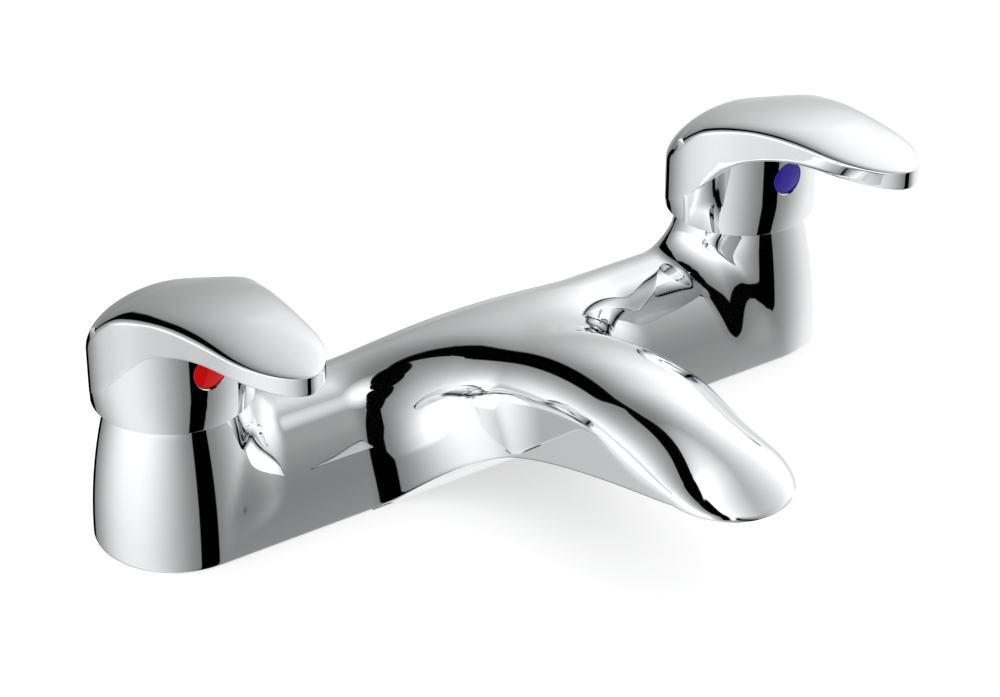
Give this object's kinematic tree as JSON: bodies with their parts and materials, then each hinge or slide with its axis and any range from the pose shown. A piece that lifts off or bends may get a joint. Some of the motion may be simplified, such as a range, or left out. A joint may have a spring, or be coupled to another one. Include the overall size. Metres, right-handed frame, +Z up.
{
  "type": "bath filler",
  "caption": "Deck mounted bath filler: low bridge casting with an arched central spout, lever handles on both pillars, ceramic disc valves, threaded inlet tails and backnuts.",
  "frame": {"origin": "on the deck (bath rim) plane, midway between the two tap centres, under the bridge", "axes": "+Z up; the spout points to -Y; hot pillar at -X, cold pillar at +X"},
  "size_m": [0.2246, 0.1498, 0.14],
  "materials": {
    "chrome_casting": "polished chrome plate on a brass casting",
    "chrome_zinc": "polished chrome plate on zinc",
    "chrome_brass": "turned brass, chrome plated",
    "index_hot": "moulded plastic, glossy red",
    "index_cold": "moulded plastic, glossy blue",
    "brass": "machined brass",
    "fibre": "red vulcanised fibre",
    "rubber": "black rubber",
    "ceramic": "lapped alumina ceramic",
    "spring_steel": "blackened spring steel",
    "bush_plastic": "moulded acetal",
    "screw_steel": "stainless steel",
    "insert_plastic": "moulded acetal, pale grey"
  },
  "bodies": {
    "filler": {"body": "chrome_casting", "tail_hot": "brass", "backnut_hot": "brass", "valve_body_hot": "brass", "tail_washer_hot": "fibre", "base_gasket_hot": "rubber", "seat_seal_hot": "rubber", "valve_ring_hot": "rubber", "fixed_disc_hot": "ceramic", "tail_cold": "brass", "backnut_cold": "brass", "valve_body_cold": "brass", "tail_washer_cold": "fibre", "base_gasket_cold": "rubber", "seat_seal_cold": "rubber", "valve_ring_cold": "rubber", "fixed_disc_cold": "ceramic", "flow_cage": "chrome_brass", "flow_insert": "insert_plastic", "flow_seal": "rubber"},
    "lever_hot": {"handle_hot": "chrome_zinc", "index_button_hot": "index_hot", "handle_bush_hot": "bush_plastic", "grub_screw_hot": "screw_steel", "spindle_hot": "brass", "moving_disc_hot": "ceramic", "spindle_rings_hot": "rubber", "circlip_hot": "spring_steel"},
    "lever_cold": {"handle_cold": "chrome_zinc", "index_button_cold": "index_cold", "handle_bush_cold": "bush_plastic", "grub_screw_cold": "screw_steel", "spindle_cold": "brass", "moving_disc_cold": "ceramic", "spindle_rings_cold": "rubber", "circlip_cold": "spring_steel"}
  },
  "joints": [
    {"name": "lever_hot_turn", "type": "hinge", "parent": "filler", "child": "lever_hot", "pos_m": [-0.09, 0, 0.056], "axis": [0, 0, 1], "range_deg": [-90, 0]},
    {"name": "lever_cold_turn", "type": "hinge", "parent": "filler", "child": "lever_cold", "pos_m": [0.09, 0, 0.056], "axis": [0, 0, 1], "range_deg": [0, 90]}
  ]
}
